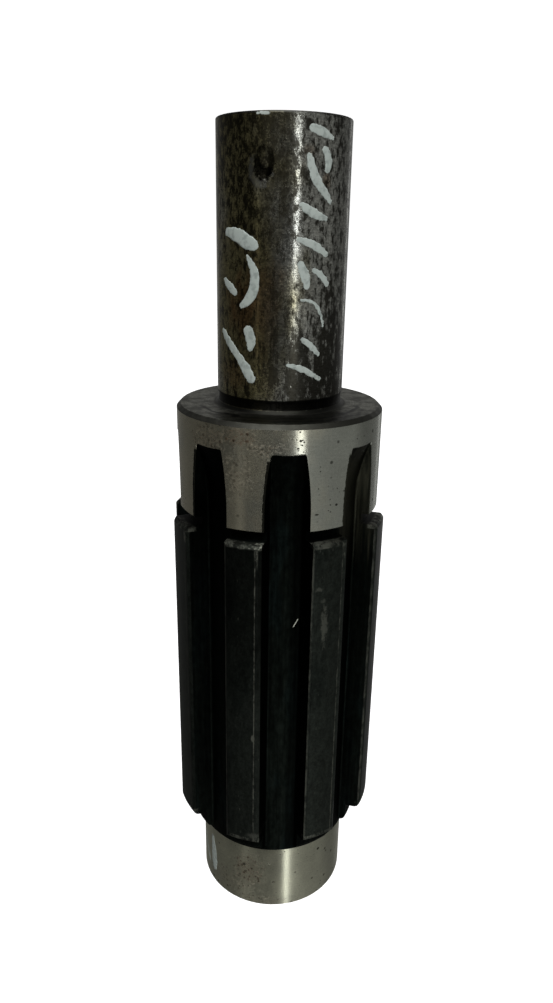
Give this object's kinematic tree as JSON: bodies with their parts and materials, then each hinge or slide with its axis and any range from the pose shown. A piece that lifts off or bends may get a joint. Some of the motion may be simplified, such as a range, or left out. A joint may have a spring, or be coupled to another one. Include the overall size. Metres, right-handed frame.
{
  "type": "splined machine shaft",
  "caption": "One-piece steel shaft with straight-sided spline teeth, a ground collar, a plain round stub and a short pilot journal.",
  "frame": {"origin": "centre of the pilot's end face, on the shaft's axis", "axes": "+Z along the shaft's axis, from the pilot end up to the stub end; -Y, +X, +Y and -X each pass through the middle of a spline groove"},
  "size_m": [0.0524, 0.0524, 0.202],
  "materials": {
    "steel": "oiled dark steel, with a ground collar and pilot"
  },
  "bodies": {
    "root": {"splined_shaft": "steel"}
  },
  "joints": []
}
